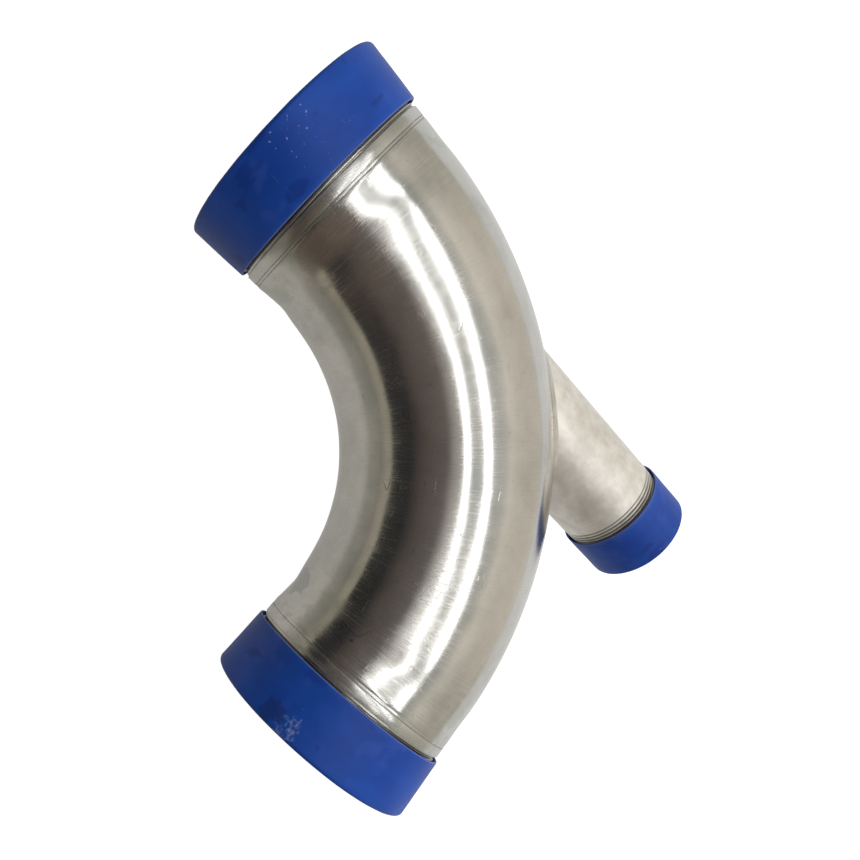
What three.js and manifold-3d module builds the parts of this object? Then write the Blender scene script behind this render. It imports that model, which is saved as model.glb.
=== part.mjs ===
// A 90 degree long-radius pipe bend with a smaller straight branch welded to its outer side.
// The branch runs in line with the upper end. All three ends carry tapered male pipe threads,
// and a push-on plastic cap covers each thread. Millimetres, +Z up, the bend lying flat.

import * as THREE from 'three';
import { mergeVertices } from 'three/addons/utils/BufferGeometryUtils.js';
import Module from 'manifold-3d';

const solids = await Module();
solids.setup();

// Pipe sizes: outside and inside radius of the 6 inch run and of the 3 inch branch
const RUN_OUTER = 84.15;
const RUN_INNER = 77.05;
const BRANCH_OUTER = 44.45;
const BRANCH_INNER = 38.95;

// The bend: centreline radius, and the straight length past each end of its arc
const BEND_RADIUS = 228.6;
const UPPER_TANGENT = 18.5;
const LOWER_TANGENT = 15.7;

// Clearance between pieces that touch
const GAP = 0.3;

// Weld seam between the bend and each threaded end, ground just below the pipe's surface
const SEAM_WIDTH = 1.9;
const SEAM_OUTER = RUN_OUTER - 0.35;

// Threaded ends: total length, plain turned band, and the thread cut behind its shoulder
const END_LENGTH = 48.3;
const BAND_LENGTH = 7.4;
const SHOULDER_STEP = 1.1;

// Eight threads to the inch, with a taper of 1 in 16 on the diameter
const PITCH = 25.4 / 8;
const THREAD_DEPTH = 2.2;
const TAPER = 1 / 32;
const END_RUN_OUT = PITCH;
const BRANCH_RUN_OUT = 3.5 * PITCH;

// Branch: distances along its axis, measured out from the level of the bend's centre of curvature
const BRANCH_START = 120;
const BRANCH_THREAD_START = 304.6;
const BRANCH_TIP = 351.2;
const BRANCH_WELD_LEG = 6;

// Caps: outside radius at the mouth and at the closed end, wall, depth and mouth position
const RUN_CAP = { mouth: 86.8, end: 88.2, wall: 2.2, depth: 43.8, corner: 3 };
const BRANCH_CAP = { mouth: 47.4, end: 47.5, wall: 1.8, depth: 41.9, corner: 2.6 };
const UPPER_CAP_MOUTH = 32.1;
const LOWER_CAP_MOUTH = 28.5;
const BRANCH_CAP_MOUTH = 316.1;

// Facets around a full turn, and along the arc of the bend
const RUN_FACETS = 40;
const BRANCH_FACETS = 32;
const ARC_STEPS = 12;

const STEEL = { color: 0xaaa69c, metalness: 1, roughness: 0.32 };
const WELD = { color: 0x8f8a80, metalness: 1, roughness: 0.5 };
const SATIN_STEEL = { color: 0xb0aca1, metalness: 1, roughness: 0.42 };
const BLUE_PLASTIC = { color: 0x254b9b, metalness: 0, roughness: 0.45 };

// Joins points that coincide and drops the triangles that this leaves without area
function weldPoints(geometry) {
  geometry.deleteAttribute('normal');
  geometry.deleteAttribute('uv');
  const merged = mergeVertices(geometry);
  const corners = merged.index.array;
  const kept = [];
  for (let i = 0; i < corners.length; i += 3) {
    const [a, b, c] = [corners[i], corners[i + 1], corners[i + 2]];
    if (a !== b && b !== c && c !== a) {
      kept.push(a, b, c);
    }
  }
  merged.setIndex(kept);
  return merged;
}

// A closed skin over rings of points, each joined to the next and the last to the first
function loft(rings) {
  const count = rings[0].length;
  const index = [];
  for (let i = 0; i < rings.length; i += 1) {
    const here = i * count;
    const next = ((i + 1) % rings.length) * count;
    for (let j = 0; j + 1 < count; j += 1) {
      index.push(here + j, here + j + 1, next + j);
      index.push(next + j, here + j + 1, next + j + 1);
    }
  }
  const geometry = new THREE.BufferGeometry();
  geometry.setAttribute('position', new THREE.Float32BufferAttribute(rings.flat(2), 3));
  geometry.setIndex(index);
  return weldPoints(geometry);
}

// A ring of points about the Y axis; radius and height may change around the turn
function ringAboutY(facets, radiusAt, heightAt) {
  const points = [];
  for (let j = 0; j <= facets; j += 1) {
    const angle = (2 * Math.PI * (j % facets)) / facets;
    const height = heightAt(j / facets);
    const radius = radiusAt(height);
    points.push([radius * Math.sin(angle), height, radius * Math.cos(angle)]);
  }
  return points;
}

function flatRing(facets, radius, height) {
  return ringAboutY(facets, () => radius, () => height);
}

// Rows of points that follow the helix of the thread, two to a pitch: crest, then root.
// The grooves deepen over the run-out, and the free end is chamfered down to the roots.
function threadRows(facets, crest, start, tip, runOut) {
  const crestAt = (y) => crest - (y - start) * TAPER;
  const depthAt = (y) => THREAD_DEPTH * Math.min(1, (y - start) / runOut);
  const chamferAt = (y) => crestAt(tip) - THREAD_DEPTH + (tip - y);
  const lastRow = Math.ceil((2 * (tip - start)) / PITCH);
  const rows = [];
  for (let k = -2; k <= lastRow; k += 1) {
    const root = Math.abs(k % 2);
    const heightAt = (turn) => Math.min(tip, Math.max(start, start + (k / 2 + turn) * PITCH));
    const radiusAt = (y) => Math.min(crestAt(y) - root * depthAt(y), chamferAt(y));
    rows.push(ringAboutY(facets, radiusAt, heightAt));
  }
  return rows;
}

// A pipe along +Y: plain from foot to shoulder, threaded from the shoulder to its tip
function threadedPipe(pipe) {
  const { facets, outer, inner, foot, shoulder, step, tip, runOut } = pipe;
  return loft([
    flatRing(facets, inner, tip),
    flatRing(facets, inner, foot),
    flatRing(facets, outer, foot),
    flatRing(facets, outer, shoulder),
    ...threadRows(facets, outer - step, shoulder, tip, runOut),
  ]);
}

// A short plain ring along +Y
function plainRing(facets, outer, inner, foot, tip) {
  return loft([
    flatRing(facets, inner, tip),
    flatRing(facets, inner, foot),
    flatRing(facets, outer, foot),
    flatRing(facets, outer, tip),
  ]);
}

// Points along the bend's centre line, from the lower end's face to the upper end's face.
// Each holds the centre and the direction from the centre of curvature to it.
function bendStations() {
  const stations = [];
  const add = (turn, x, y) => {
    const away = [Math.cos(turn), Math.sin(turn)];
    stations.push({ away, centre: [away[0] * BEND_RADIUS + x, away[1] * BEND_RADIUS + y] });
  };
  add(-Math.PI / 2, -LOWER_TANGENT, 0);
  for (let i = 0; i <= ARC_STEPS; i += 1) {
    add(((i / ARC_STEPS - 1) * Math.PI) / 2, 0, 0);
  }
  add(0, 0, UPPER_TANGENT);
  return stations;
}

function bendRing(station, radius) {
  const points = [];
  for (let j = 0; j <= RUN_FACETS; j += 1) {
    const angle = (2 * Math.PI * (j % RUN_FACETS)) / RUN_FACETS;
    const out = radius * Math.sin(angle);
    points.push([
      station.centre[0] + station.away[0] * out,
      station.centre[1] + station.away[1] * out,
      radius * Math.cos(angle),
    ]);
  }
  return points;
}

function toSolid(geometry) {
  const mesh = new solids.Mesh({
    numProp: 3,
    vertProperties: new Float32Array(geometry.attributes.position.array),
    triVerts: new Uint32Array(geometry.index.array),
  });
  return new solids.Manifold(mesh);
}

function toGeometry(solid) {
  const mesh = solid.getMesh();
  const geometry = new THREE.BufferGeometry();
  geometry.setAttribute('position', new THREE.BufferAttribute(mesh.vertProperties, 3));
  geometry.setIndex(new THREE.BufferAttribute(mesh.triVerts, 1));
  return geometry;
}

// The bend as one solid rod of the given radius, open nowhere
function bendRod(radius) {
  const stations = bendStations();
  const first = stations[0];
  const last = stations[stations.length - 1];
  return loft([
    bendRing(first, 0),
    ...stations.map((station) => bendRing(station, radius)),
    bendRing(last, 0),
  ]);
}

// The branch's axis is the upper end's axis; a piece along +Y is turned over to face -Y there
function ontoBranchAxis(geometry) {
  geometry.rotateZ(Math.PI);
  geometry.translate(BEND_RADIUS, 0, 0);
  return geometry;
}

function elbowBend() {
  const stations = bendStations();
  const backwards = [...stations].reverse();
  const shell = loft([
    ...stations.map((station) => bendRing(station, RUN_OUTER)),
    ...backwards.map((station) => bendRing(station, RUN_INNER)),
  ]);
  const drill = loft([
    flatRing(BRANCH_FACETS, 0, BRANCH_START / 2),
    flatRing(BRANCH_FACETS, BRANCH_INNER, BRANCH_START / 2),
    flatRing(BRANCH_FACETS, BRANCH_INNER, BRANCH_THREAD_START),
    flatRing(BRANCH_FACETS, 0, BRANCH_THREAD_START),
  ]);
  return toGeometry(toSolid(shell).subtract(toSolid(ontoBranchAxis(drill))));
}

function branchPipe() {
  const pipe = threadedPipe({
    facets: BRANCH_FACETS,
    outer: BRANCH_OUTER,
    inner: BRANCH_INNER,
    foot: BRANCH_START,
    shoulder: BRANCH_THREAD_START,
    step: 0,
    tip: BRANCH_TIP,
    runOut: BRANCH_RUN_OUT,
  });
  return toGeometry(toSolid(ontoBranchAxis(pipe)).subtract(toSolid(bendRod(RUN_OUTER + GAP))));
}

// Fillet weld in the corner between the branch and the bend: a triangle carried around the
// branch, with one leg along the branch and the other along the bend's surface
function branchWeld() {
  const legOnBranch = [];
  const legOnBend = [];
  const corner = [];
  const ringRadius = BRANCH_OUTER + GAP;
  const bendRadius = RUN_OUTER + GAP;
  for (let j = 0; j <= RUN_FACETS; j += 1) {
    const angle = (2 * Math.PI * (j % RUN_FACETS)) / RUN_FACETS;
    const away = new THREE.Vector3(Math.sin(angle), 0, Math.cos(angle));
    const x = BEND_RADIUS + ringRadius * away.x;
    const z = ringRadius * away.z;
    const reach = BEND_RADIUS + Math.sqrt(bendRadius ** 2 - z ** 2);
    const root = new THREE.Vector3(x, -Math.sqrt(reach ** 2 - x ** 2), z);
    const centre = new THREE.Vector3(root.x, root.y, 0).setLength(BEND_RADIUS);
    const normal = root.clone().sub(centre).normalize();
    const along = away.clone().addScaledVector(normal, -away.dot(normal)).normalize();
    corner.push(root.toArray());
    legOnBend.push(root.clone().addScaledVector(along, BRANCH_WELD_LEG).toArray());
    legOnBranch.push([root.x, root.y - BRANCH_WELD_LEG, root.z]);
  }
  return loft([corner, legOnBend, legOnBranch]);
}

// A thin cup along +Y, its mouth at y = 0 and its closed end at y = depth
function cap(size, facets) {
  const { mouth, end, wall, depth, corner } = size;
  const arc = (radius, height, bend) => [Math.PI / 8, (3 * Math.PI) / 8].map((angle) => [
    radius - bend * (1 - Math.cos(angle)),
    height - bend * (1 - Math.sin(angle)),
  ]);
  const innerBend = corner - wall;
  const outline = [
    [0, depth - wall],
    [end - corner, depth - wall],
    ...arc(end - wall, depth - wall, innerBend).reverse(),
    [end - wall, depth - corner],
    [mouth - wall, 0],
    [mouth, 0],
    [end, depth - corner],
    ...arc(end, depth, corner),
    [end - corner, depth],
    [0, depth],
  ];
  const points = outline.map(([radius, height]) => new THREE.Vector2(radius, height));
  return weldPoints(new THREE.LatheGeometry(points, facets));
}

// A mesh whose faces point out, whichever way round its outline was given
function part(name, geometry, finish) {
  const { array } = geometry.attributes.position;
  const corners = geometry.index.array;
  const corner = (i) => new THREE.Vector3().fromArray(array, 3 * corners[i]);
  let volume = 0;
  for (let i = 0; i < corners.length; i += 3) {
    volume += corner(i).dot(corner(i + 1).cross(corner(i + 2)));
  }
  if (volume < 0) {
    geometry.setIndex([...corners].reverse());
  }
  geometry.computeVertexNormals();
  const mesh = new THREE.Mesh(geometry, new THREE.MeshStandardMaterial(finish));
  mesh.name = name;
  return mesh;
}

function threadedEnd(name) {
  const geometry = threadedPipe({
    facets: RUN_FACETS,
    outer: RUN_OUTER,
    inner: RUN_INNER,
    foot: 0,
    shoulder: BAND_LENGTH,
    step: SHOULDER_STEP,
    tip: END_LENGTH,
    runOut: END_RUN_OUT,
  });
  return part(name, geometry, STEEL);
}

function weldSeam(name) {
  return part(name, plainRing(RUN_FACETS, SEAM_OUTER, RUN_INNER, 0, SEAM_WIDTH), WELD);
}

// The pieces on one end of the bend, stacked along +Y from the end of its arc
function runEnd(side, tangent, capMouth) {
  const seamFoot = tangent + GAP;
  const end = threadedEnd(`${side}_threaded_end`);
  const seam = weldSeam(`${side}_weld_seam`);
  const cover = part(`${side}_cap`, cap(RUN_CAP, RUN_FACETS), BLUE_PLASTIC);
  seam.position.y = seamFoot;
  end.position.y = seamFoot + SEAM_WIDTH + GAP;
  cover.position.y = capMouth;
  return new THREE.Group().add(end, seam, cover);
}

function branchCap() {
  const geometry = cap(BRANCH_CAP, BRANCH_FACETS);
  geometry.translate(0, BRANCH_CAP_MOUTH, 0);
  return part('branch_cap', ontoBranchAxis(geometry), BLUE_PLASTIC);
}

// Everything is built about the bend's centre of curvature, then moved so that the origin
// lies under the middle of the whole object, level with the lowest point of its caps
function fitting() {
  const upperEnd = runEnd('upper', UPPER_TANGENT, UPPER_CAP_MOUTH);
  upperEnd.position.x = BEND_RADIUS;
  const lowerEnd = runEnd('lower', LOWER_TANGENT, LOWER_CAP_MOUTH);
  lowerEnd.position.y = -BEND_RADIUS;
  lowerEnd.rotation.z = Math.PI / 2;

  const body = new THREE.Group();
  body.add(part('elbow_bend', elbowBend(), STEEL));
  body.add(part('branch_pipe', branchPipe(), SATIN_STEEL));
  body.add(part('branch_weld', branchWeld(), WELD));
  body.add(branchCap(), upperEnd, lowerEnd);

  const left = -(LOWER_CAP_MOUTH + RUN_CAP.depth);
  const right = BEND_RADIUS + RUN_CAP.end;
  const back = UPPER_CAP_MOUTH + RUN_CAP.depth;
  const front = -(BRANCH_CAP_MOUTH + BRANCH_CAP.depth);
  body.position.set(-(left + right) / 2, -(back + front) / 2, RUN_CAP.end);
  return new THREE.Group().add(body);
}

export default fitting();
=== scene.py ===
"""A 90 degree stainless steel pipe bend with a side branch, threaded ends and blue push-on caps.

Metres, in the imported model's frame: +Z up, the bend lying flat, the upper end facing +Y, the
lower end facing -X and the branch facing -Y in line with the upper end.
"""

import math

import bmesh
import bpy
from mathutils import Matrix, Vector, noise


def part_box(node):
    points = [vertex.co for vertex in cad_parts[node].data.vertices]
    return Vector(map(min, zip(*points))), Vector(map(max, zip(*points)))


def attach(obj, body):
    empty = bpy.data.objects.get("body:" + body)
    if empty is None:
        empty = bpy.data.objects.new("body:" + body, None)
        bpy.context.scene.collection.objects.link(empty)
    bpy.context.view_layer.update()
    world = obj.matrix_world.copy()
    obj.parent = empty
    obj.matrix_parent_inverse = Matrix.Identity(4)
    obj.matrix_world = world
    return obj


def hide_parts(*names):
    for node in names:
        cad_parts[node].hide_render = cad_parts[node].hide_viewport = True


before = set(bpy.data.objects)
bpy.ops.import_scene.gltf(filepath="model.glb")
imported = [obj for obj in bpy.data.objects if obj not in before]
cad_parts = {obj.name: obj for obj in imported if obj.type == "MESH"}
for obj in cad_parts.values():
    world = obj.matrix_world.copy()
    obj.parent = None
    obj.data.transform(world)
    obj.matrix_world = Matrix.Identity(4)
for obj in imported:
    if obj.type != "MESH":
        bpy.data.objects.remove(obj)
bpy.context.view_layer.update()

MM = 0.001
FULL_TURN = 2 * math.pi

# The run: the bend and the two threaded ends. Its radius and axes are read from the frame.
BEND_RADIUS = 228.6 * MM
ARC = BEND_RADIUS * math.pi / 2
RUN_WALL = 7.1 * MM
BRANCH_WALL = 5.5 * MM
BAND_LENGTH = 7.4 * MM
SHOULDER_STEP = 1.1 * MM
SEAM_DROP = 0.10 * MM
UPPER_SEAM_GROOVES = (0.7 * MM, 0.7 * MM)
LOWER_SEAM_GROOVES = (0.12 * MM, 0.6 * MM)

# Eight threads to the inch, tapering 1 in 16 on the diameter
PITCH = 25.4 / 8 * MM
THREAD_DEPTH = 2.2 * MM
TAPER = 1 / 32
ROWS_PER_PITCH = 8
NARROW_GROOVE = 7.0
FULL_GROOVE = 1.6
END_RUN_OUT = PITCH
BRANCH_RUN_OUT = 3.5 * PITCH
BRANCH_THREAD = 46.6 * MM

# Caps
RUN_CAP_WALL = 2.2 * MM
RUN_CAP_CORNER = 2.6 * MM
RUN_CAP_FLARE = 1.4 * MM
BRANCH_CAP_WALL = 1.8 * MM
BRANCH_CAP_CORNER = 2.2 * MM
BRANCH_CAP_FLARE = 0.1 * MM

# Fillet weld around the foot of the branch
BEAD_ON_BEND = 5.5 * MM
BEAD_ON_BRANCH = 6.5 * MM
BEAD_STEPS = 10

RUN_COLUMNS = 256
BRANCH_COLUMNS = 192

# Places and radii from the frame
bend_low, bend_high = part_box("elbow_bend")
upper_low, upper_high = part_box("upper_threaded_end")
lower_low, lower_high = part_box("lower_threaded_end")
branch_low, branch_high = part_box("branch_pipe")

RUN_OUTER = (bend_high.z - bend_low.z) / 2
RUN_INNER = RUN_OUTER - RUN_WALL
BRANCH_OUTER = (branch_high.x - branch_low.x) / 2
BRANCH_INNER = BRANCH_OUTER - BRANCH_WALL
AXIS_X = (upper_low.x + upper_high.x) / 2
AXIS_Y = (lower_low.y + lower_high.y) / 2
AXIS_Z = (upper_low.z + upper_high.z) / 2
CURVE_CENTRE = Vector((AXIS_X - BEND_RADIUS, AXIS_Y + BEND_RADIUS, AXIS_Z))
UPPER_TANGENT = bend_high.y - CURVE_CENTRE.y
LOWER_TANGENT = CURVE_CENTRE.x - bend_low.x
UP = Vector((0, 0, 1))


# ---------------------------------------------------------------- paths

def run_point(s, phi, radius):
    """A point on the run: s along its centre line from the lower end of the arc, phi from the
    outer side of the bend up over the top, radius from the centre line."""
    turn = min(max(s / BEND_RADIUS, 0.0), math.pi / 2)
    past = s - turn * BEND_RADIUS
    away = Vector((math.sin(turn), -math.cos(turn), 0))
    along = Vector((math.cos(turn), math.sin(turn), 0))
    centre = CURVE_CENTRE + away * BEND_RADIUS + along * past
    return centre + away * (radius * math.cos(phi)) + UP * (radius * math.sin(phi))


def upper_point(h, phi, radius):
    """As run_point, with h from the upper end of the arc towards the upper end's tip."""
    return run_point(ARC + h, phi, radius)


def lower_point(h, phi, radius):
    """As run_point, with h from the lower end of the arc towards the lower end's tip."""
    return run_point(-h, phi, radius)


def branch_point(h, phi, radius):
    """A point about the branch's axis, with h from the level of the centre of curvature."""
    x = AXIS_X + radius * math.cos(phi)
    return Vector((x, CURVE_CENTRE.y - h, AXIS_Z + radius * math.sin(phi)))


def straightened(point):
    """Undoes the bend: outward and upward distance from the centre line, and s along it."""
    x, y, z = point - CURVE_CENTRE
    if x < 0 and y < 0:
        return Vector((-y - BEND_RADIUS, z, x))
    if y > 0:
        return Vector((x - BEND_RADIUS, z, ARC + y))
    return Vector((math.hypot(x, y) - BEND_RADIUS, z, BEND_RADIUS * math.atan2(x, -y)))


def about_branch(point):
    """Distances across the branch's axis, and h along it."""
    return Vector((point.x - AXIS_X, point.z - AXIS_Z, CURVE_CENTRE.y - point.y))


def saddle_height(phi, bend_radius, pipe_radius):
    """h at which a pipe of this radius about the branch's axis meets a bend of that radius."""
    x = BEND_RADIUS + pipe_radius * math.cos(phi)
    z = pipe_radius * math.sin(phi)
    reach = BEND_RADIUS + math.sqrt(bend_radius ** 2 - z ** 2)
    return math.sqrt(reach ** 2 - x ** 2)


# ---------------------------------------------------------------- meshes

def angles(columns):
    return [FULL_TURN * j / columns for j in range(columns)]


def loft(name, rings, helix=None):
    """A closed skin over rings of points, each joined to the next and the last to the first.
    helix gives the first and last ring of a thread, and how many rings it climbs in a turn."""
    count = len(rings[0])
    rows = len(rings)
    mesh = bpy.data.meshes.new(name)
    faces = []

    def next_turn(i):
        if helix and helix[0] <= i <= helix[1]:
            return min(max(i + helix[2], helix[0]), helix[1])
        return i

    for i in range(rows):
        below = (i + 1) % rows
        for j in range(count - 1):
            here, there = i * count + j, below * count + j
            faces.append((here, here + 1, there + 1, there))
        j = count - 1
        here, there = next_turn(i) * count, next_turn(below) * count
        faces.append((i * count + j, here, there, below * count + j))
    mesh.from_pydata([p for ring in rings for p in ring], [], faces)
    joined = bmesh.new()
    joined.from_mesh(mesh)
    bmesh.ops.remove_doubles(joined, verts=joined.verts, dist=2e-7)
    bmesh.ops.dissolve_degenerate(joined, edges=joined.edges, dist=1e-7)
    bare = [edge for edge in joined.edges if edge.is_wire]
    bmesh.ops.delete(joined, geom=bare, context="EDGES")
    bmesh.ops.recalc_face_normals(joined, faces=joined.faces)
    joined.to_mesh(mesh)
    joined.free()
    piece = bpy.data.objects.new(name, mesh)
    bpy.context.scene.collection.objects.link(piece)
    return piece


def add_brush_maps(piece, flatten):
    """Adds the point attribute "unbent", which the materials read, and a UV map whose first
    direction runs along the pipe, which the brushed steel takes its tangent from."""
    mesh = piece.data
    places = [flatten(v.co) for v in mesh.vertices]
    unbent = mesh.attributes.new("unbent", "FLOAT_VECTOR", "POINT")
    unbent.data.foreach_set("vector", [c for p in places for c in p])
    layer = mesh.uv_layers.new(name="brush")
    turn = [math.atan2(p.y, p.x) for p in places]
    size = [math.hypot(p.x, p.y) for p in places]
    flat = [0.0] * (2 * len(mesh.loops))
    for face in mesh.polygons:
        first = turn[mesh.loops[face.loop_start].vertex_index]
        for i in face.loop_indices:
            v = mesh.loops[i].vertex_index
            lap = round((first - turn[v]) / FULL_TURN)
            flat[2 * i] = places[v].z
            flat[2 * i + 1] = (turn[v] + lap * FULL_TURN) * size[v]
    layer.data.foreach_set("uv", flat)


def shade(piece, angle=32):
    piece.data.shade_smooth()
    piece.data.set_sharp_from_angle(angle=math.radians(angle))


def finish_piece(piece, body, nodes, material, flatten):
    add_brush_maps(piece, flatten)
    shade(piece)
    piece.data.materials.clear()
    piece.data.materials.append(material)
    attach(piece, body)
    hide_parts(*nodes)
    return piece


def smooth_step(low, high, x):
    t = min(max((x - low) / (high - low), 0.0), 1.0)
    return t * t * (3 - 2 * t)


def arc(centre, radius, start, end, steps):
    """Points (distance from axis, height) on an arc, start and end in degrees."""
    turn = [math.radians(start + (end - start) * i / steps) for i in range(steps + 1)]
    return [(centre[0] + radius * math.cos(t), centre[1] + radius * math.sin(t)) for t in turn]


# ---------------------------------------------------------------- the bend

BEND_ROWS = 196
BORE_ROWS = 48
HAMMERED = 0.10 * MM
NECK_OUTER = 0.3 * MM
NECK_INNER = 1.7 * MM
NECK_LENGTH = 13 * MM
EDGE_ROUND = 0.25 * MM


def bend_waviness(s, phi):
    """Radial offset of the outer skin: faint polishing waves, and a shallow neck where each
    end of the arc was sized round."""
    around = Vector((math.cos(phi), math.sin(phi), s / RUN_OUTER))
    waves = HAMMERED * noise.noise(around * 2.3 + Vector((3.1, 0, 0)))
    waves += 0.35 * HAMMERED * noise.noise(around * 6.1)
    neck = 0.0
    inner_side = (1 - math.cos(phi)) / 2
    for end, shift in ((0.0, 6 * MM), (ARC, -2 * MM)):
        depth = NECK_OUTER + (NECK_INNER - NECK_OUTER) * inner_side
        depth *= 1 + 0.4 * noise.noise(around * 1.9 + Vector((0, 7.7, 0)))
        length = NECK_LENGTH * (0.75 + 0.5 * inner_side)
        neck += depth * math.exp(-((s - end - shift * inner_side) / length) ** 2)
    low_edge = smooth_step(-LOWER_TANGENT, -LOWER_TANGENT + 6 * MM, s)
    high_edge = smooth_step(ARC + UPPER_TANGENT, ARC + UPPER_TANGENT - 6 * MM, s)
    return (waves - neck) * low_edge * high_edge


def bend_ring(s, radius, wavy):
    ring = []
    for phi in angles(RUN_COLUMNS):
        extra = bend_waviness(s, phi) if wavy else 0.0
        ring.append(run_point(s, phi, radius + extra))
    return ring


def make_bend():
    start = -LOWER_TANGENT
    length = ARC + LOWER_TANGENT + UPPER_TANGENT
    outer = [start + length * i / BEND_ROWS for i in range(BEND_ROWS + 1)]
    inner = [start + length * i / BORE_ROWS for i in range(BORE_ROWS, -1, -1)]
    inset = EDGE_ROUND
    rings = [bend_ring(start, RUN_OUTER - inset, False)]
    rings.append(bend_ring(start + 0.3 * inset, RUN_OUTER - 0.3 * inset, False))
    outer[0] += inset
    outer[-1] -= inset
    rings += [bend_ring(s, RUN_OUTER, True) for s in outer]
    end = start + length
    rings.append(bend_ring(end - 0.3 * inset, RUN_OUTER - 0.3 * inset, False))
    rings.append(bend_ring(end, RUN_OUTER - inset, False))
    rings += [bend_ring(s, RUN_INNER, False) for s in inner]
    bend = loft("bend", rings)
    drill_bend(bend)
    return bend


def drill_bend(bend):
    """Cuts the hole that opens the branch into the bend."""
    near = 60 * MM
    far = 330 * MM
    ring = angles(BRANCH_COLUMNS)
    rod = [(near, 0.0), (near, BRANCH_INNER), (far, BRANCH_INNER), (far, 0.0)]
    drill = loft("drill", [[branch_point(h, a, r) for a in ring] for h, r in rod])
    cut = bend.modifiers.new("cut", "BOOLEAN")
    cut.operation = "DIFFERENCE"
    cut.solver = "EXACT"
    cut.object = drill
    graph = bpy.context.evaluated_depsgraph_get()
    cut_mesh = bpy.data.meshes.new_from_object(bend.evaluated_get(graph))
    bend.modifiers.clear()
    bend.data = cut_mesh
    bpy.data.objects.remove(drill)


# ---------------------------------------------------------------- threads

def thread_rings(place, columns, crest, start, tip, run_out, hand):
    """Rings that follow a V thread with rounded crests, deepening over its run-out."""
    rings = []
    last = math.ceil(ROWS_PER_PITCH * (tip - start) / PITCH)
    for k in range(-ROWS_PER_PITCH, last + ROWS_PER_PITCH + 1):
        wave = abs(math.sin(math.pi * k / ROWS_PER_PITCH))
        ring = []
        for a in angles(columns):
            lead = hand * a / FULL_TURN * PITCH
            h = start + k / ROWS_PER_PITCH * PITCH + lead
            h = min(max(h, start), tip)
            share = min(1.0, (h - start) / run_out)
            depth = THREAD_DEPTH * share ** 0.75
            groove = wave ** (NARROW_GROOVE + (FULL_GROOVE - NARROW_GROOVE) * share)
            top = crest - (h - start) * TAPER
            chamfer = crest - (tip - start) * TAPER - THREAD_DEPTH + (tip - h)
            ring.append(place(h, a, min(top - groove * depth, chamfer)))
        rings.append(ring)
    return rings


def ring_at(place, columns, h, radius):
    return [place(h, a, radius) for a in angles(columns)]


def mark_groove_shade(piece, flatten, direction, start, crest):
    """Adds the point attribute that masks the shade painted into the thread: 1 deep in its grooves, 0
    on its crests.
    """
    values = []
    for vertex in piece.data.vertices:
        place = flatten(vertex.co)
        past = direction * place.z - start
        drop = crest - past * TAPER - math.hypot(place.x, place.y)
        deep = smooth_step(0.12 * MM, 0.6 * MM, drop) if past > 0 and drop < 3 * MM else 0.0
        values.append(deep)
    groove_shade = piece.data.attributes.new("groove_shade", "FLOAT", "POINT")
    groove_shade.data.foreach_set("value", values)


def make_threaded_end(name, place, foot, tip, hand):
    """A plain band, a small step down at its shoulder, and the thread."""
    shoulder = foot + BAND_LENGTH
    crest = RUN_OUTER - SHOULDER_STEP
    inset = EDGE_ROUND
    profile = [(tip, RUN_INNER), (foot, RUN_INNER), (foot, RUN_OUTER - inset)]
    profile += [(foot + 0.3 * inset, RUN_OUTER - 0.3 * inset), (foot + inset, RUN_OUTER)]
    profile += [(shoulder - 0.3 * MM, RUN_OUTER), (shoulder - 0.1 * MM, RUN_OUTER - 0.1 * MM)]
    profile += [(shoulder, RUN_OUTER - 0.3 * MM)]
    rings = [ring_at(place, RUN_COLUMNS, h, r) for h, r in profile]
    first = len(rings)
    rings += thread_rings(place, RUN_COLUMNS, crest, shoulder, tip, END_RUN_OUT, hand)
    return loft(name, rings, (first, len(rings) - 1, hand * ROWS_PER_PITCH))


def make_seam(name, place, foot, top, grooves):
    """The narrow weld between bend and threaded end, with a fine groove at each edge."""
    foot_edge, top_edge = (RUN_OUTER - groove for groove in grooves)
    crown = RUN_OUTER - SEAM_DROP
    side = 0.45 * MM
    profile = [(top, RUN_INNER), (foot, RUN_INNER), (foot, foot_edge)]
    profile += [(foot + 0.15 * MM, foot_edge)]
    profile += [(foot + side, crown - 0.05 * MM), (foot + 1.6 * side, crown)]
    profile += [(top - 1.6 * side, crown), (top - side, crown - 0.05 * MM)]
    profile += [(top - 0.15 * MM, top_edge), (top, top_edge)]
    return loft(name, [ring_at(place, RUN_COLUMNS, h, r) for h, r in profile])


def make_branch():
    tip = CURVE_CENTRE.y - branch_low.y
    shoulder = tip - BRANCH_THREAD
    turns = angles(BRANCH_COLUMNS)
    skin = RUN_OUTER - 0.1 * MM

    def foot_ring(radius):
        return [branch_point(saddle_height(a, skin, radius), a, radius) for a in turns]

    def wall_ring(share):
        ring = []
        for a in turns:
            foot = saddle_height(a, skin, BRANCH_OUTER)
            h = foot + (shoulder - foot) * share
            around = Vector((math.cos(a), math.sin(a), h / BRANCH_OUTER))
            wave = 0.06 * MM * noise.noise(around * 2.1) * (1 - share)
            ring.append(branch_point(h, a, BRANCH_OUTER + wave))
        return ring

    rings = [ring_at(branch_point, BRANCH_COLUMNS, tip, BRANCH_INNER)]
    rings += [foot_ring(BRANCH_INNER + BRANCH_WALL * i / 3) for i in range(4)]
    rings += [wall_ring(i / 48) for i in range(1, 49)]
    columns = BRANCH_COLUMNS
    crest = BRANCH_OUTER
    first = len(rings)
    rings += thread_rings(branch_point, columns, crest, shoulder, tip, BRANCH_RUN_OUT, 1)
    return loft("branch", rings, (first, len(rings) - 1, ROWS_PER_PITCH))


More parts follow.
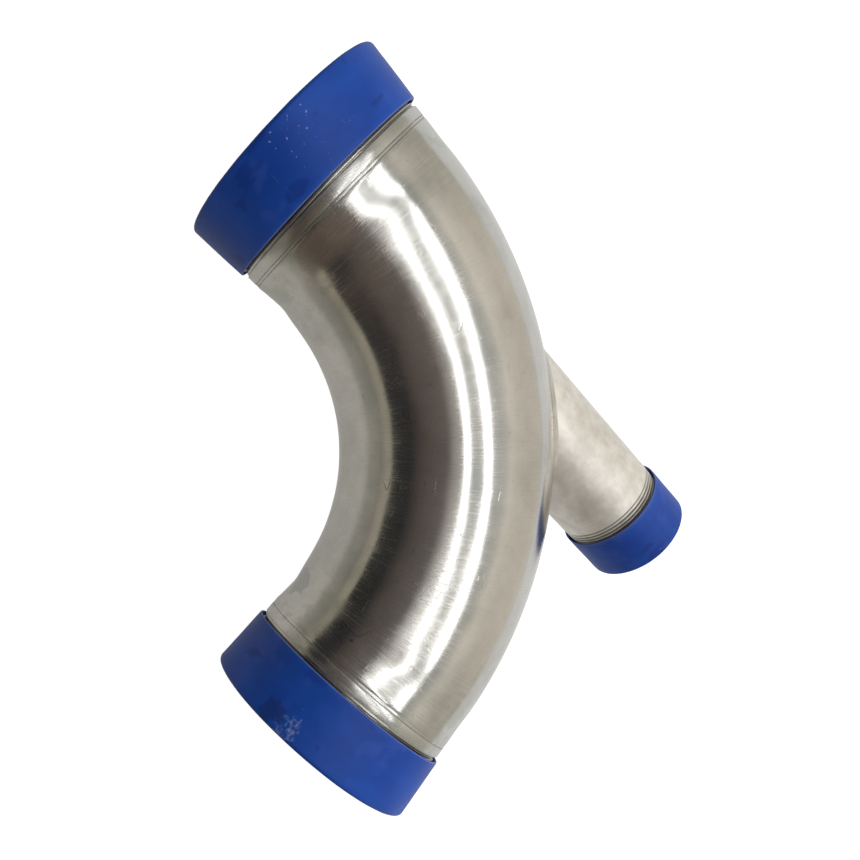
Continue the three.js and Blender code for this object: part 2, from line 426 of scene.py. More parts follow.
def make_bead():
    """The fillet weld: a smoothly ground fillet carried around the saddle, widest where branch
    and bend meet at the shallowest angle."""
    rings = [[] for _ in range(BEAD_STEPS + 2)]
    for a in angles(2 * BRANCH_COLUMNS):
        root = branch_point(saddle_height(a, RUN_OUTER, BRANCH_OUTER), a, BRANCH_OUTER)
        out = Vector((math.cos(a), 0, math.sin(a)))
        spine = Vector((root.x, root.y, CURVE_CENTRE.z)) - CURVE_CENTRE
        normal = (root - CURVE_CENTRE - spine.normalized() * BEND_RADIUS).normalized()
        on_bend = (out - normal * out.dot(normal)).normalized()
        on_branch = Vector((0, -1, 0))
        wobble = noise.noise(out * 3.0) * 0.6 * MM + noise.noise(out * 11.0) * 0.2 * MM
        wide = 0.62 + 0.38 * abs(math.sin(a))
        toe_bend = root + on_bend * (BEAD_ON_BEND * wide + wobble)
        toe_branch = root + on_branch * (BEAD_ON_BRANCH * wide + 0.5 * wobble)
        bulge = root + (toe_bend + toe_branch - 2 * root) * 0.34
        deep = root - normal * 0.5 * MM - out * 0.5 * MM
        rings[0].append(deep)
        for i in range(BEAD_STEPS + 1):
            t = i / BEAD_STEPS
            point = toe_bend.lerp(bulge, t).lerp(bulge.lerp(toe_branch, t), t)
            sink = (0.05 + 0.30 * smooth_step(0.9, 1.0, t)) * MM
            rings[1 + i].append(point - normal * 0.05 * MM - out * sink)
    return loft("branch_weld_bead", rings)


# ---------------------------------------------------------------- caps

def cap_profile(mouth_radius, end_radius, wall, corner, depth):
    """Half section of a cap from the middle of its inside round the mouth to its outside."""
    lip = 0.35 * wall
    inner = corner - wall
    profile = [(0.0, depth - wall)]
    profile += [(end_radius * i / 12, depth - wall) for i in range(1, 11)]
    profile += arc((end_radius - corner, depth - corner), inner, 90, 0, 4)
    profile += [(mouth_radius - wall, 2 * lip), (mouth_radius - wall + 0.4 * lip, 0.4 * lip)]
    profile += [(mouth_radius - wall + lip, 0), (mouth_radius - lip, 0)]
    profile += [(mouth_radius - 0.3 * lip, 0.3 * lip), (mouth_radius, lip)]
    rise = depth - corner - lip
    grow = end_radius - mouth_radius
    profile += [(mouth_radius + grow * i / 14, lip + rise * i / 14) for i in range(1, 14)]
    profile += arc((end_radius - corner, depth - corner), corner, 0, 90, 8)
    profile += [(end_radius * i / 12, depth) for i in range(10, -1, -1)]
    return profile


def mark_rim_highlight(cap, flatten, mouth, radius):
    """Adds the point attribute that masks the painted highlight on the outer edge of the mouth: 1
    there, 0 elsewhere.
    """
    values = []
    for vertex in cap.data.vertices:
        place = flatten(vertex.co)
        from_mouth = abs(place.z - mouth)
        from_edge = max(0.0, radius - math.hypot(place.x, place.y))
        values.append(1 - smooth_step(0.3 * MM, 0.8 * MM, max(from_mouth, 0.6 * from_edge)))
    rim_highlight = cap.data.attributes.new("rim_highlight", "FLOAT", "POINT")
    rim_highlight.data.foreach_set("value", values)


def make_cap(name, place, mouth, end, size, seed):
    """A soft plastic cup, a little out of round, with a dished end and a moulding gate.
    size holds the radius at the mouth and at the end, the wall, the corner and the columns."""
    depth = end - mouth
    mouth_radius, end_radius, wall, corner, columns = size
    rings = []
    for r, h in cap_profile(mouth_radius, end_radius, wall, corner, depth):
        ring = []
        for a in angles(columns):
            spot = Vector((math.cos(a), math.sin(a), 0.7 * h / depth)) * 1.7
            spot += Vector((seed, 0, 0))
            dent = 0.35 * MM * (noise.noise(spot) - 0.55)
            dent += 0.12 * MM * (noise.noise(spot * 4.0) - 0.5)
            squeeze = dent * smooth_step(0, 0.5 * end_radius, r)
            dish = 0.0
            if h > 0.5 * depth:
                dish = 0.9 * MM * (1 - smooth_step(0.3, 0.93, r / end_radius))
                dish += 0.5 * MM * (1 - smooth_step(0.05, 0.07, r / end_radius))
                dish -= 0.35 * dent * smooth_step(0.6, 1, r / end_radius)
                dish = max(0.0, dish)
            ring.append(place(mouth + h - dish, a, max(0.0, r + squeeze)))
        rings.append(ring)
    return loft(name, rings)


# ---------------------------------------------------------------- material helpers

def node(tree, kind, inputs=None, **settings):
    made = tree.nodes.new(kind)
    for key, value in settings.items():
        setattr(made, key, value)
    for key, value in (inputs or {}).items():
        if isinstance(value, bpy.types.NodeSocket):
            tree.links.new(value, made.inputs[key])
        else:
            made.inputs[key].default_value = value
    return made


def new_material(name, **constants):
    material = bpy.data.materials.new(name)
    material.use_nodes = True
    shader = material.node_tree.nodes["Principled BSDF"]
    for key, value in constants.items():
        shader.inputs[key.replace("_", " ").capitalize()].default_value = value
    return material, material.node_tree, shader


def maths(tree, operation, a, b=0.0, clamp=False):
    made = node(tree, "ShaderNodeMath", {0: a, 1: b}, operation=operation)
    made.use_clamp = clamp
    return made.outputs[0]


def noise_at(tree, place, scale, detail=2.0, rough=0.5, shift=(0, 0, 0)):
    """Noise from 0 to 1 with its own number of features per metre in each direction."""
    moved = node(tree, "ShaderNodeMapping", {"Vector": place, "Scale": scale, "Location": shift})
    inputs = {"Vector": moved.outputs[0], "Scale": 1.0, "Detail": detail, "Roughness": rough}
    return node(tree, "ShaderNodeTexNoise", inputs).outputs["Fac"]


def ramp(tree, value, stops, smooth=False):
    """Maps a value to colours or greys through stops of (position, value)."""
    made = node(tree, "ShaderNodeValToRGB", {"Fac": value})
    made.color_ramp.interpolation = "EASE" if smooth else "LINEAR"
    points = made.color_ramp.elements
    while len(points) < len(stops):
        points.new(0.5)
    for point, (position, colour) in zip(points, stops):
        point.position = position
        if not hasattr(colour, "__len__"):
            colour = (colour, colour, colour)
        point.color = (*colour, 1.0)
    return made.outputs[0]


def blend(tree, factor, a, b, mode="MIX"):
    made = node(tree, "ShaderNodeMix", data_type="RGBA", blend_type=mode)
    for slot, value in ((0, factor), (6, a), (7, b)):
        if isinstance(value, bpy.types.NodeSocket):
            tree.links.new(value, made.inputs[slot])
        else:
            made.inputs[slot].default_value = value if slot == 0 else (*value, 1.0)
    return made.outputs[2]


def unbent_place(tree):
    return node(tree, "ShaderNodeAttribute", attribute_name="unbent").outputs["Vector"]


def hairlines(tree, place, scale, width, sparse, shift):
    """Thin curved lines where a noise crosses its middle, kept only in scattered patches."""
    field = noise_at(tree, place, scale, 1.0, 0.4, shift)
    offset = maths(tree, "ABSOLUTE", maths(tree, "SUBTRACT", field, 0.5))
    line = ramp(tree, offset, [(0.0, 1.0), (width, 0.0)])
    patch = noise_at(tree, place, (38, 38, 38), 2.0, 0.5, shift)
    kept = ramp(tree, patch, [(sparse, 0.0), (sparse + 0.05, 1.0)])
    return maths(tree, "MULTIPLY", line, kept)


# ---------------------------------------------------------------- materials

# Marks on the skin: degrees round from the outer side of the bend over the top, distance s along
# the run from the lower end of the arc, size, and how far the edge wanders
GREY_BLOT = (178, 12 * MM, 17 * MM, 26 * MM)
CURLED_HAIRS = (127, 3 * MM, 17 * MM, 12 * MM)
DIMPLE = (98, 12 * MM, 2.1 * MM, 0.0)
CHALK_RUB = (125, -65 * MM, 10 * MM, 14 * MM)
DARK_SMUDGE = (134, -64 * MM, 9 * MM, 22 * MM)
GREY_PATCH_REACH = 85 * MM
GRAIN_DEPTH = 0.08 * MM
DIMPLE_DEPTH = 0.3 * MM


def from_middle(tree, place):
    """0 in the middle of the bend's arc, 0.8 at the ends of the bend, 1 near the pipe ends."""
    along = node(tree, "ShaderNodeSeparateXYZ", {0: place}).outputs["Z"]
    gap = maths(tree, "ABSOLUTE", maths(tree, "SUBTRACT", along, ARC / 2))
    return maths(tree, "DIVIDE", gap, (ARC / 2 + UPPER_TANGENT) / 0.8)


def near_ends(tree, place, reach):
    """1 at both ends of the bend, falling to 0 at this distance from them."""
    along = node(tree, "ShaderNodeSeparateXYZ", {0: place}).outputs["Z"]
    middle = maths(tree, "ABSOLUTE", maths(tree, "SUBTRACT", along, ARC / 2))
    gap = maths(tree, "SUBTRACT", ARC / 2, middle)
    return ramp(tree, maths(tree, "DIVIDE", gap, reach), [(0.0, 1.0), (1.0, 0.0)], True)


def patch_at(tree, place, mark, shift):
    """1 inside a ragged round patch on the skin, 0 outside. mark is one of the tuples above."""
    phi, s, size, ragged = mark
    turn = math.radians(phi)
    middle = (RUN_OUTER * math.cos(turn), RUN_OUTER * math.sin(turn), s)
    gap = node(tree, "ShaderNodeVectorMath", {0: place, 1: middle}, operation="DISTANCE")
    edge = noise_at(tree, place, (90, 90, 90), 4.0, 0.6, shift)
    wander = maths(tree, "MULTIPLY", maths(tree, "SUBTRACT", edge, 0.5), ragged)
    share = maths(tree, "DIVIDE", maths(tree, "ADD", gap.outputs["Value"], wander), size)
    return ramp(tree, share, [(0.75, 1.0), (1.0, 0.0)], True)


def paint_groove_shade(tree, tone, share):
    """Paints shade into the thread's grooves: darker where the piece's groove mask is high."""
    groove_shade = node(tree, "ShaderNodeAttribute", attribute_name="groove_shade").outputs["Fac"]
    return blend(tree, maths(tree, "MULTIPLY", groove_shade, share), tone, (0.20, 0.19, 0.17))


def connect(tree, shader, tone, rough, bump, brushed):
    """Joins up a shader. Brushed metal also takes its tangent from the UV map "brush"."""
    if brushed:
        tangent = node(tree, "ShaderNodeTangent", direction_type="UV_MAP", uv_map="brush")
        tree.links.new(tangent.outputs[0], shader.inputs["Tangent"])
    tree.links.new(tone, shader.inputs["Base Color"])
    tree.links.new(rough, shader.inputs["Roughness"])
    tree.links.new(bump.outputs[0], shader.inputs["Normal"])


def steel_tone(tree, place, cloud, mottle):
    """Uneven warm grey with dull stains."""
    stain = noise_at(tree, place, (24, 24, 24), 3.0, 0.55, (7, 1, 3))
    tone = ramp(tree, cloud, [(0.3, (0.555, 0.56, 0.535)), (0.7, (0.675, 0.66, 0.635))], True)
    mottled = ramp(tree, mottle, [(0.32, 0.965), (0.68, 1.03)], True)
    tone = blend(tree, 1.0, tone, mottled, "MULTIPLY")
    dull = ramp(tree, stain, [(0.56, 0.0), (0.72, 0.35)], True)
    return blend(tree, dull, tone, (0.47, 0.45, 0.41))


def grey_end_patches(tree, place):
    """Darker grey-green patches, from noise, on the sides of the run near the ends of the bend."""
    grey_patches = noise_at(tree, place, (20, 20, 32), 4.0, 0.6, (2, 2, 7))
    grey_patches = ramp(tree, grey_patches, [(0.50, 0.0), (0.535, 0.6), (0.60, 0.75)])
    sideways = node(tree, "ShaderNodeSeparateXYZ", {0: place}).outputs["X"]
    sideways = maths(tree, "DIVIDE", maths(tree, "ABSOLUTE", sideways), RUN_OUTER)
    grey_patches = maths(tree, "MULTIPLY", grey_patches, ramp(tree, sideways, [(0.35, 0.0), (0.55, 1.0)]))
    return maths(tree, "MULTIPLY", grey_patches, near_ends(tree, place, GREY_PATCH_REACH))


def steel_scratches(tree, place, tone):
    """Adds hairlines along and across the brushing, and a few dark curled ones."""
    scratch = hairlines(tree, place, (120, 120, 26), 0.012, 0.60, (1, 5, 2))
    cross = hairlines(tree, place, (60, 210, 90), 0.010, 0.63, (8, 3, 6))
    marks = maths(tree, "MAXIMUM", scratch, cross)
    tone = blend(tree, maths(tree, "MULTIPLY", marks, 0.4), tone, (0.30, 0.28, 0.25))
    curl = hairlines(tree, place, (48, 48, 70), 0.014, 0.30, (3, 9, 2))
    curl = maths(tree, "MULTIPLY", curl, patch_at(tree, place, CURLED_HAIRS, (8, 1, 1)))
    tone = blend(tree, maths(tree, "MULTIPLY", curl, 0.8), tone, (0.08, 0.07, 0.06))
    return tone, maths(tree, "MAXIMUM", marks, curl)


def steel_pits(tree, place, tone):
    """Adds scattered small dark pits."""
    pits = noise_at(tree, place, (520, 520, 520), 1.0, 0.5, (6, 4, 1))
    where = noise_at(tree, place, (45, 45, 20), 2.0, 0.5, (0, 3, 3))
    pits = ramp(tree, pits, [(0.72, 0.0), (0.76, 1.0)])
    pits = maths(tree, "MULTIPLY", pits, ramp(tree, where, [(0.50, 0.0), (0.60, 1.0)]))
    return blend(tree, maths(tree, "MULTIPLY", pits, 0.5), tone, (0.25, 0.24, 0.22)), pits


def steel_roughness(tree, place, fine, cloud, mottle, grey_patches):
    """Best polished on the bend, duller on the pipe ends, with the brushing showing in worn patches."""
    rough = ramp(tree, cloud, [(0.3, 0.18), (0.7, 0.23)])
    streak = ramp(tree, fine, [(0.49, 0.0), (0.68, 0.15)], True)
    worn = noise_at(tree, place, (13, 13, 10), 2.0, 0.5, (9, 9, 1))
    streak = maths(tree, "MULTIPLY", streak, ramp(tree, worn, [(0.40, 0.35), (0.60, 1.0)], True))
    rough = maths(tree, "ADD", rough, streak)
    blur = ramp(tree, mottle, [(0.40, 0.0), (0.70, 0.03)], True)
    rough = maths(tree, "ADD", rough, blur)
    polish = [(0.0, 1.0), (0.30, 1.0), (0.60, 0.80), (0.79, 0.80), (0.80, 1.25), (1.0, 1.25)]
    sharper = ramp(tree, from_middle(tree, place), polish)
    rough = maths(tree, "MULTIPLY", rough, sharper)
    return maths(tree, "ADD", rough, maths(tree, "MULTIPLY", grey_patches, 0.06))


def steel_bump(tree, place, fine, coarse, marks, pits):
    """Brush lines, with the scratches and pits sunk in, and the dimple."""
    height = maths(tree, "MULTIPLY", fine, 0.5)
    height = maths(tree, "ADD", height, maths(tree, "MULTIPLY", coarse, 0.55))
    height = maths(tree, "SUBTRACT", height, maths(tree, "MULTIPLY", marks, 1.0))
    height = maths(tree, "SUBTRACT", height, maths(tree, "MULTIPLY", pits, 1.2))
    grain = {"Height": height, "Strength": 0.38, "Distance": GRAIN_DEPTH}
    bump = node(tree, "ShaderNodeBump", grain)
    dent = patch_at(tree, place, DIMPLE, (0, 0, 0))
    dented = {"Height": dent, "Strength": 0.8, "Distance": DIMPLE_DEPTH}
    dented["Normal"] = bump.outputs[0]
    return node(tree, "ShaderNodeBump", dented, invert=True)


def brushed_steel():
    """Hoop-brushed, half polished stainless steel with handling stains, pits and scratches."""
    material, tree, shader = new_material("brushed_steel", metallic=1.0, anisotropic=0.9)
    place = unbent_place(tree)
    fine = noise_at(tree, place, (42, 42, 1300), 3.0, 0.65)
    coarse = noise_at(tree, place, (24, 24, 300), 2.0, 0.5, (4, 2, 0))
    cloud = noise_at(tree, place, (16, 16, 16), 4.0, 0.6)
    mottle = noise_at(tree, place, (75, 75, 55), 4.0, 0.65, (3, 6, 9))
    tone = steel_tone(tree, place, cloud, mottle)
    grey_patches = grey_end_patches(tree, place)
    # darker grey-green patches near the ends of the bend; the same patches are made a little rougher
    tone = blend(tree, grey_patches, tone, (0.50, 0.515, 0.475))
    blot = patch_at(tree, place, GREY_BLOT, (5, 0, 2))
    tone = blend(tree, maths(tree, "MULTIPLY", blot, 0.7), tone, (0.40, 0.41, 0.41))
    lines = ramp(tree, fine, [(0.3, 0.955), (0.7, 1.03)])
    tone = blend(tree, 1.0, tone, lines, "MULTIPLY")
    tone, marks = steel_scratches(tree, place, tone)
    tone, pits = steel_pits(tree, place, tone)
    # painted shade: the thread's grooves darkened towards dark grey-brown
    tone = paint_groove_shade(tree, tone, 0.7)
    rough = steel_roughness(tree, place, fine, cloud, mottle, grey_patches)
    bump = steel_bump(tree, place, fine, coarse, marks, pits)
    connect(tree, shader, tone, rough, bump, brushed=True)
    return material


def satin_steel():
    """Satin stainless steel with mottled handling marks, for the branch."""
    material, tree, shader = new_material("satin_steel", metallic=0.65, anisotropic=0.45)
    place = unbent_place(tree)
    fine = noise_at(tree, place, (22, 22, 1500), 3.0, 0.6)
    cloud = noise_at(tree, place, (34, 34, 26), 4.0, 0.62)
    mottle = noise_at(tree, place, (120, 120, 90), 3.0, 0.6, (2, 4, 4))
    tone = ramp(tree, cloud, [(0.32, (0.76, 0.73, 0.68)), (0.62, (0.89, 0.865, 0.82))], True)
    mottled = ramp(tree, mottle, [(0.32, 0.92), (0.68, 1.06)], True)
    tone = blend(tree, 1.0, tone, mottled, "MULTIPLY")
    lines = ramp(tree, fine, [(0.3, 0.96), (0.7, 1.03)])
    tone = blend(tree, 1.0, tone, lines, "MULTIPLY")
    # painted shade: the thread's grooves darkened towards dark grey-brown
    tone = paint_groove_shade(tree, tone, 0.85)
    rough = ramp(tree, cloud, [(0.3, 0.50), (0.7, 0.57)])
    bump = node(tree, "ShaderNodeBump", {"Height": fine, "Strength": 0.3, "Distance": GRAIN_DEPTH})
    connect(tree, shader, tone, rough, bump, brushed=True)
    return material


def weld_metal():
    """Ground weld metal, unevenly toned and finely grained."""
    material, tree, shader = new_material("weld_metal", metallic=1.0)
    place = unbent_place(tree)
    grain = noise_at(tree, place, (700, 700, 700), 3.0, 0.6)
    cloud = noise_at(tree, place, (60, 60, 60), 3.0, 0.6)
    tone = ramp(tree, cloud, [(0.35, (0.60, 0.58, 0.54)), (0.65, (0.76, 0.75, 0.72))], True)
    rough = ramp(tree, grain, [(0.3, 0.36), (0.7, 0.50)])
    bump = node(tree, "ShaderNodeBump", {"Height": grain, "Strength": 0.3, "Distance": 0.15 * MM})
    connect(tree, shader, tone, rough, bump, brushed=False)
    return material


def blue_plastic():
    """Royal blue polyethylene with scuffs, white specks, darker damp blotches and a painted highlight
    on the rim of the mouth.
    """
    material, tree, shader = new_material("blue_plastic")
    shader.inputs["Specular IOR Level"].default_value = 0.25
    place = unbent_place(tree)
    cloud = noise_at(tree, place, (18, 18, 30), 3.0, 0.55)
    haze = noise_at(tree, place, (42, 42, 42), 2.0, 0.5, (9, 1, 5))
    blotch = noise_at(tree, place, (30, 30, 60), 2.0, 0.5, (2, 8, 1))
    grain = noise_at(tree, place, (500, 500, 500), 3.0, 0.6)
    tone = ramp(tree, cloud, [(0.3, (0.005, 0.052, 0.340)), (0.7, (0.009, 0.074, 0.430))], True)
    pale = ramp(tree, haze, [(0.56, 0.0), (0.70, 0.35)], True)
    tone = blend(tree, pale, tone, (0.045, 0.100, 0.480))
    dark = ramp(tree, blotch, [(0.62, 0.0), (0.65, 0.5)])
    tone = blend(tree, dark, tone, (0.005, 0.030, 0.240))
    speck = noise_at(tree, place, (420, 420, 420), 1.0, 0.5, (5, 5, 5))
    patch = noise_at(tree, place, (30, 30, 30), 2.0, 0.5, (1, 9, 4))
    white = ramp(tree, speck, [(0.70, 0.0), (0.74, 1.0)])
    white = maths(tree, "MULTIPLY", white, ramp(tree, patch, [(0.60, 0.0), (0.68, 0.6)]))
    scrape = noise_at(tree, place, (260, 260, 14), 2.0, 0.5, (6, 2, 9))
    scrape = ramp(tree, scrape, [(0.72, 0.0), (0.75, 0.4)])
    white = maths(tree, "MAXIMUM", white, scrape)
    chalk = noise_at(tree, place, (330, 330, 330), 4.0, 0.7, (4, 4, 0))
    chalk = ramp(tree, chalk, [(0.46, 0.0), (0.66, 0.6)])
    rubbed = patch_at(tree, place, CHALK_RUB, (2, 0, 2))
    white = maths(tree, "MAXIMUM", white, maths(tree, "MULTIPLY", chalk, rubbed))
    tone = blend(tree, white, tone, (0.30, 0.38, 0.60))
    smudge = patch_at(tree, place, DARK_SMUDGE, (1, 7, 2))
    tone = blend(tree, maths(tree, "MULTIPLY", smudge, 0.5), tone, (0.010, 0.022, 0.090))
    # painted highlight: a pale blue band along the outer edge of each cap's mouth
    rim_highlight = node(tree, "ShaderNodeAttribute", attribute_name="rim_highlight").outputs["Fac"]
    tone = blend(tree, maths(tree, "MULTIPLY", rim_highlight, 0.4), tone, (0.36, 0.42, 0.62))
    rough = ramp(tree, cloud, [(0.3, 0.40), (0.7, 0.52)])
    bump = node(tree, "ShaderNodeBump", {"Height": grain, "Strength": 0.15, "Distance": 0.2 * MM})
    connect(tree, shader, tone, rough, bump, brushed=False)
    return material


# ---------------------------------------------------------------- studio

FLOOR_SIZE = 6.0
LAMP_DISTANCE = 2.0
DIAGONAL = 0.7071

# Azimuth and elevation in degrees, width and height in metres, radiance
OUTER_LAMP = (-45, 71, (2.0, 0.25), 4.5)
TOP_LAMP = (135, 86.5, (2.0, 0.18), 4.5)
KEY_LAMP = (-45, 40, (1.4, 1.4), 2.4)

CAMERA_LENS = 27.71
CAMERA_SHIFT = (0.0130, 0.0423)
CAMERA_TILT_X, CAMERA_TILT_Y, CAMERA_ROLL = 0.0768, 0.3864, 0.0587
CAMERA_OFFSET = Vector((19.48, 5.64, 477.77)) * MM


def make_floor():
    mesh = bpy.data.meshes.new("floor")
    half = FLOOR_SIZE / 2
    corners = [(-half, -half, 0), (half, -half, 0), (half, half, 0), (-half, half, 0)]
    mesh.from_pydata(corners, [], [(0, 1, 2, 3)])
    floor = bpy.data.objects.new("floor", mesh)
    bpy.context.scene.collection.objects.link(floor)
    material, tree, shader = new_material("floor_white", roughness=0.9)
    shader.inputs["Specular IOR Level"].default_value = 0.0
    shader.inputs["Base Color"].default_value = (0.29, 0.29, 0.29, 1)
    shader.inputs["Emission Strength"].default_value = 1.0
    local = node(tree, "ShaderNodeTexCoord").outputs["Object"]
    spot = node(tree, "ShaderNodeSeparateXYZ", {0: local})
    across = maths(tree, "SUBTRACT", spot.outputs["X"], spot.outputs["Y"])
    across = maths(tree, "ADD", maths(tree, "MULTIPLY", across, DIAGONAL / FLOOR_SIZE), 0.5)
    stops = [
        (0.5 - 0.60 / FLOOR_SIZE, (0.12, 0.11, 0.08)),
        (0.5 - 0.38 / FLOOR_SIZE, (0.14, 0.13, 0.10)),
        (0.5 - 0.27 / FLOOR_SIZE, (0.32, 0.30, 0.26)),
        (0.5, (0.36, 0.35, 0.33)),
        (0.5 + 0.20 / FLOOR_SIZE, (0.50, 0.50, 0.49)),
    ]
    glow = ramp(tree, across, stops)
    seen = node(tree, "ShaderNodeLightPath").outputs["Is Camera Ray"]
    tree.links.new(blend(tree, seen, glow, (0.97, 0.97, 0.97)), shader.inputs["Emission Color"])
    mesh.materials.append(material)


def make_world():
    """A pale room that is dim on the side towards -X +Y, and plain white to the camera."""
    world = bpy.data.worlds.new("room")
    bpy.context.scene.world = world
    world.use_nodes = True
    tree = world.node_tree
    tree.nodes.clear()
    direction = node(tree, "ShaderNodeTexCoord").outputs["Generated"]
    parts = node(tree, "ShaderNodeSeparateXYZ", {0: direction})
    height = parts.outputs["Z"]
    stops = [
        (0.0, (0.72, 0.66, 0.57)),
        (0.36, (0.69, 0.63, 0.545)),
        (0.54, (0.77, 0.715, 0.63)),
        (0.69, (0.89, 0.83, 0.735)),
        (0.78, (0.64, 0.61, 0.56)),
        (0.84, (0.58, 0.575, 0.55)),
        (1.0, (0.72, 0.70, 0.67)),
    ]
    pale = ramp(tree, height, stops)
    stops = [
        (0.0, (0.36, 0.33, 0.27)),
        (0.06, (0.40, 0.37, 0.29)),
        (0.145, (0.44, 0.41, 0.32)),
        (0.155, (0.035, 0.034, 0.035)),
        (0.50, (0.035, 0.034, 0.034)),
        (0.66, (0.105, 0.086, 0.078)),
        (0.92, (0.16, 0.142, 0.132)),
        (0.97, (0.66, 0.64, 0.60)),
    ]
    dim = ramp(tree, height, stops)
    outward = maths(tree, "SUBTRACT", parts.outputs["X"], parts.outputs["Y"])
    outward = maths(tree, "MULTIPLY", outward, DIAGONAL)
    level = maths(tree, "SUBTRACT", 1.0001, maths(tree, "MULTIPLY", height, height))
    level = maths(tree, "SQRT", level)
    facing = maths(tree, "DIVIDE", outward, level)
    corner = ramp(tree, facing, [(0.76, (0.72, 0.75, 0.74)), (0.81, (1.0, 1.0, 1.0))], True)
    pale = blend(tree, 1.0, pale, corner, "MULTIPLY")
    warm = ramp(tree, parts.outputs["Y"], [(0.0, 0.9), (0.16, 0.0)], True)
    dim = blend(tree, warm, dim, (0.17, 0.125, 0.10))
    side = maths(tree, "SUBTRACT", parts.outputs["Y"], parts.outputs["X"])
    side = maths(tree, "MULTIPLY", side, DIAGONAL)
    side = ramp(tree, side, [(0.0, 0.0), (0.12, 1.0)], True)
    room = node(tree, "ShaderNodeBackground", {"Color": blend(tree, side, pale, dim)})
    plain = node(tree, "ShaderNodeBackground", {"Color": (1.0, 1.0, 1.0, 1)})
    seen = node(tree, "ShaderNodeLightPath").outputs["Is Camera Ray"]
    mixed = node(tree, "ShaderNodeMixShader", {0: seen, 1: room.outputs[0], 2: plain.outputs[0]})
    node(tree, "ShaderNodeOutputWorld", {"Surface": mixed.outputs[0]})


def make_lamp(name, azimuth, elevation, size, radiance, in_reflections=True):
    """A soft box that faces the object: its width runs level and its height up and down."""
    light = bpy.data.lights.new(name, "AREA")
    light.shape = "RECTANGLE"
    light.size, light.size_y = size
    light.energy = radiance * math.pi * size[0] * size[1]
    lamp = bpy.data.objects.new(name, light)
    bpy.context.scene.collection.objects.link(lamp)
    a, e = math.radians(azimuth), math.radians(elevation)
    back = Vector((math.cos(a) * math.cos(e), math.sin(a) * math.cos(e), math.sin(e)))
    middle = run_point(ARC / 2, math.pi / 2, RUN_OUTER)
    lamp.location = middle + back * LAMP_DISTANCE
    lamp.rotation_mode = "QUATERNION"
    lamp.rotation_quaternion = back.to_track_quat("Z", "Y")
    lamp.visible_glossy = in_reflections


def camera_place():
    """The camera's own axes, tilted and rolled, with the bend's diagonal turned into the frame."""
    tilt = Matrix.Rotation(CAMERA_TILT_Y, 3, "Y") @ Matrix.Rotation(CAMERA_TILT_X, 3, "X")
    turned = Matrix.Rotation(CAMERA_ROLL, 3, "Z") @ tilt
    turned = Matrix.Rotation(math.radians(-45), 3, "Z") @ turned.transposed()
    place = turned.to_4x4()
    place.translation = CURVE_CENTRE + CAMERA_OFFSET
    return place


def make_camera():
    """Nearly overhead, on the inner side of the bend, turned so that the run stands upright."""
    data = bpy.data.cameras.new("camera")
    data.sensor_width = 36.0
    data.lens = CAMERA_LENS
    data.shift_x, data.shift_y = CAMERA_SHIFT
    camera = bpy.data.objects.new("camera", data)
    bpy.context.scene.collection.objects.link(camera)
    camera.matrix_world = camera_place()
    data.clip_start, data.clip_end = 0.01, 50.0
    bpy.context.scene.camera = camera


# ---------------------------------------------------------------- assembly

def build_run(steel):
    """The bend, and at each end of it a threaded end and the seam between them."""
    finish_piece(make_bend(), "fitting", ["elbow_bend"], steel, straightened)
    upper = (upper_low.y - CURVE_CENTRE.y, upper_high.y - CURVE_CENTRE.y)
    lower = (CURVE_CENTRE.x - lower_high.x, CURVE_CENTRE.x - lower_low.x)
    sides = {
        "upper": (upper_point, UPPER_TANGENT, upper, -1, UPPER_SEAM_GROOVES),
        "lower": (lower_point, LOWER_TANGENT, lower, 1, LOWER_SEAM_GROOVES),
    }
    for side, (place, tangent, (foot, tip), hand, grooves) in sides.items():
        end = make_threaded_end(f"{side}_end", place, foot, tip, hand)
        direction = 1 if side == "upper" else -1
        shoulder = foot + BAND_LENGTH + (ARC if side == "upper" else 0)
        mark_groove_shade(end, straightened, direction, shoulder, RUN_OUTER - SHOULDER_STEP)
        finish_piece(end, "fitting", [f"{side}_threaded_end"], steel, straightened)
        seam = make_seam(f"{side}_seam", place, tangent, foot, grooves)
        finish_piece(seam, "fitting", [f"{side}_weld_seam"], steel, straightened)


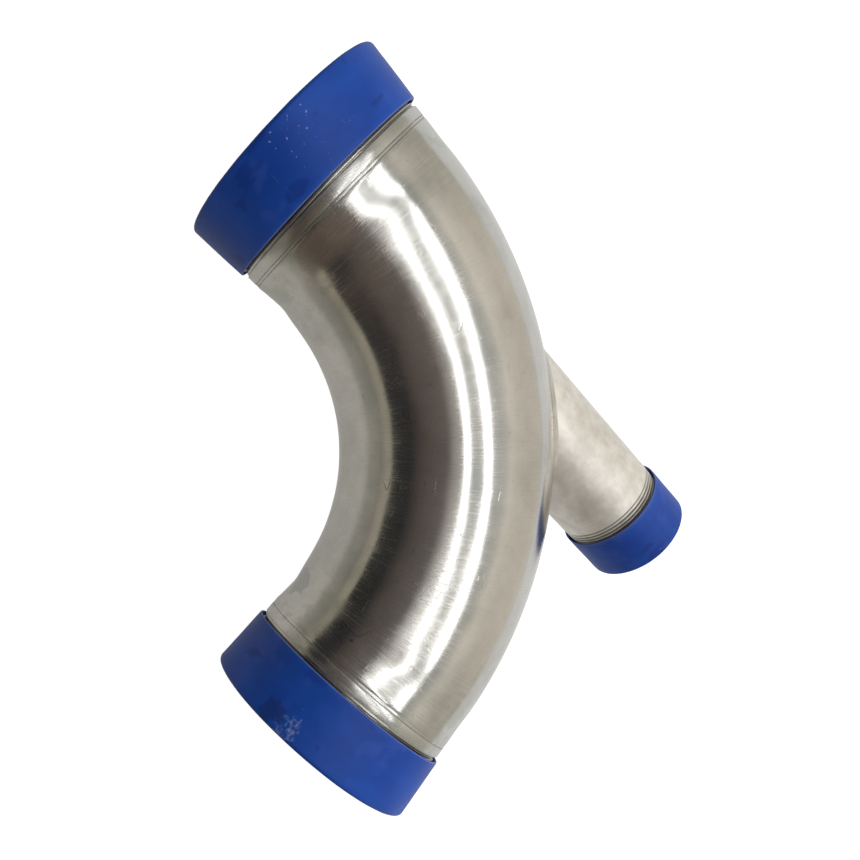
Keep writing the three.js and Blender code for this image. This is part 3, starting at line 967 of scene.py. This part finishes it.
def build_branch(satin, weld):
    branch = make_branch()
    shoulder = CURVE_CENTRE.y - branch_low.y - BRANCH_THREAD
    mark_groove_shade(branch, about_branch, 1, shoulder, BRANCH_OUTER)
    finish_piece(branch, "fitting", ["branch_pipe"], satin, about_branch)
    finish_piece(make_bead(), "fitting", ["branch_weld"], weld, about_branch)


def build_run_caps(plastic):
    upper_cap_low, upper_cap_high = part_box("upper_cap")
    lower_cap_low, lower_cap_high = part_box("lower_cap")
    end_radius = (upper_cap_high.z - upper_cap_low.z) / 2
    size = (end_radius - RUN_CAP_FLARE, end_radius, RUN_CAP_WALL, RUN_CAP_CORNER, RUN_COLUMNS)
    mouth = upper_cap_low.y - CURVE_CENTRE.y
    end = upper_cap_high.y - CURVE_CENTRE.y
    cap = make_cap("upper_cap_blue", upper_point, mouth, end, size, 1.0)
    mark_rim_highlight(cap, straightened, ARC + mouth, size[0])
    finish_piece(cap, "upper_cap", ["upper_cap"], plastic, straightened)
    mouth = CURVE_CENTRE.x - lower_cap_high.x
    end = CURVE_CENTRE.x - lower_cap_low.x
    cap = make_cap("lower_cap_blue", lower_point, mouth, end, size, 5.0)
    mark_rim_highlight(cap, straightened, -mouth, size[0])
    finish_piece(cap, "lower_cap", ["lower_cap"], plastic, straightened)


def build_branch_cap(plastic):
    low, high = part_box("branch_cap")
    radius = (high.z - low.z) / 2
    size = (radius - BRANCH_CAP_FLARE, radius, BRANCH_CAP_WALL, BRANCH_CAP_CORNER, BRANCH_COLUMNS)
    mouth = CURVE_CENTRE.y - high.y
    end = CURVE_CENTRE.y - low.y
    cap = make_cap("branch_cap_blue", branch_point, mouth, end, size, 9.0)
    mark_rim_highlight(cap, about_branch, mouth, size[0])
    finish_piece(cap, "branch_cap", ["branch_cap"], plastic, about_branch)


def build():
    steel = brushed_steel()
    satin = satin_steel()
    weld = weld_metal()
    plastic = blue_plastic()
    build_run(steel)
    build_branch(satin, weld)
    build_run_caps(plastic)
    build_branch_cap(plastic)


build()
make_floor()
make_world()
make_lamp("lamp_outer", *OUTER_LAMP)
make_lamp("lamp_top", *TOP_LAMP)
make_lamp("lamp_key", *KEY_LAMP, in_reflections=False)
make_camera()
bpy.context.scene.view_settings.view_transform = "Standard"
